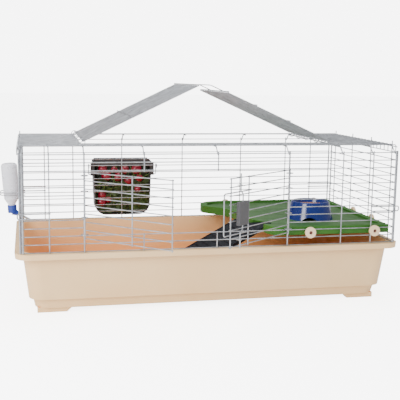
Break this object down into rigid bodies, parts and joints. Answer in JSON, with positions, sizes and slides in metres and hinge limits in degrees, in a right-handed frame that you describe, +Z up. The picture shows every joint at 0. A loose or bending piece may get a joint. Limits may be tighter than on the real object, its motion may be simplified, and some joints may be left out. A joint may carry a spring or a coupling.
{
  "type": "wire rabbit cage with tray",
  "caption": "Long wire small-animal cage on a deep plastic tray, with double front doors, twin roof lids, raised shelf, ramp, bowl, fodder rack and bottle.",
  "frame": {"origin": "centre of the tray, on the floor that its feet stand on", "axes": "+X along the cage's length towards the shelf end, +Y from the doors towards the back, +Z up"},
  "size_m": [1.2246, 0.8516, 0.6704],
  "materials": {
    "wire": "satin, zinc plated",
    "tray_plastic": "satin",
    "knob_plastic": "satin",
    "platform_plastic": "satin",
    "rack_plastic": "satin",
    "fodder": "matte, leafy",
    "radish": "glossy skin",
    "bottle_plastic": "clear, glossy",
    "cap_plastic": "glossy",
    "bright_steel": "polished",
    "grip_plastic": "satin",
    "ramp_plastic": "satin",
    "bowl_plastic": "glossy",
    "food": "matte, granular"
  },
  "bodies": {
    "cage": {"front_panel_left": "wire", "front_panel_right": "wire", "front_panel_upper": "wire", "front_panel_lower": "wire", "back_panel": "wire", "side_panel_left": "wire", "side_panel_right": "wire", "roof_end_left": "wire", "roof_end_right": "wire", "roof_strip_front": "wire", "roof_strip_back": "wire", "clip_front_left": "wire", "clip_front_right": "wire", "clip_back_left": "wire", "clip_back_right": "wire", "tray": "tray_plastic", "knob_front_left": "knob_plastic", "knob_front_right": "knob_plastic", "knob_side_front": "knob_plastic", "knob_side_back": "knob_plastic", "knob_back_left": "knob_plastic", "knob_back_right": "knob_plastic", "platform": "platform_plastic", "platform_studs": "knob_plastic", "hay_rack": "rack_plastic", "hay_rack_hooks": "wire", "rack_greens": "fodder", "rack_radishes": "radish", "bottle": "bottle_plastic", "bottle_cap": "cap_plastic", "bottle_tube": "bright_steel", "bottle_ball": "bright_steel", "bottle_holder": "wire"},
    "lid_left_body": {"lid_left": "wire", "lid_left_rings": "wire"},
    "lid_right_body": {"lid_right": "wire", "lid_right_rings": "wire", "lid_latch_loop": "wire"},
    "door_left_body": {"door_left": "wire", "door_left_rings": "wire"},
    "door_right_body": {"door_right": "wire", "door_right_rings": "wire", "door_overlap_loop": "wire", "bolt_guides": "wire"},
    "bolt_body": {"bolt_rod": "wire", "bolt_grip": "grip_plastic"},
    "ramp_body": {"ramp": "ramp_plastic"},
    "bowl_body": {"food_bowl": "bowl_plastic", "bowl_food": "food"}
  },
  "joints": [
    {"name": "lid_left_hinge", "type": "hinge", "parent": "cage", "child": "lid_left_body", "pos_m": [-0.3922, 0, 0.48815], "axis": [0, -1, 0], "range_deg": [-25.7, 74.3]},
    {"name": "lid_right_hinge", "type": "hinge", "parent": "cage", "child": "lid_right_body", "pos_m": [0.3922, 0, 0.48815], "axis": [0, 1, 0], "range_deg": [-23.9, 76.1]},
    {"name": "door_left_hinge", "type": "hinge", "parent": "cage", "child": "door_left_body", "pos_m": [-0.3922, -0.27835, 0.325], "axis": [0, 0, -1], "range_deg": [-42.8, 90]},
    {"name": "door_right_hinge", "type": "hinge", "parent": "cage", "child": "door_right_body", "pos_m": [0.2196, -0.27835, 0.325], "axis": [0, 0, 1], "range_deg": [-38.8, 90]},
    {"name": "bolt_slide", "type": "slide", "parent": "door_right_body", "child": "bolt_body", "axis": [0, 0, 1], "range_m": [0, 0.012]},
    {"name": "ramp_lift", "type": "slide", "parent": "cage", "child": "ramp_body", "axis": [-0.469, -0.0693, 0.8805], "range_m": [0, 0.06]},
    {"name": "bowl_lift", "type": "slide", "parent": "cage", "child": "bowl_body", "axis": [0, 0, 1], "range_m": [0, 0.08]}
  ]
}
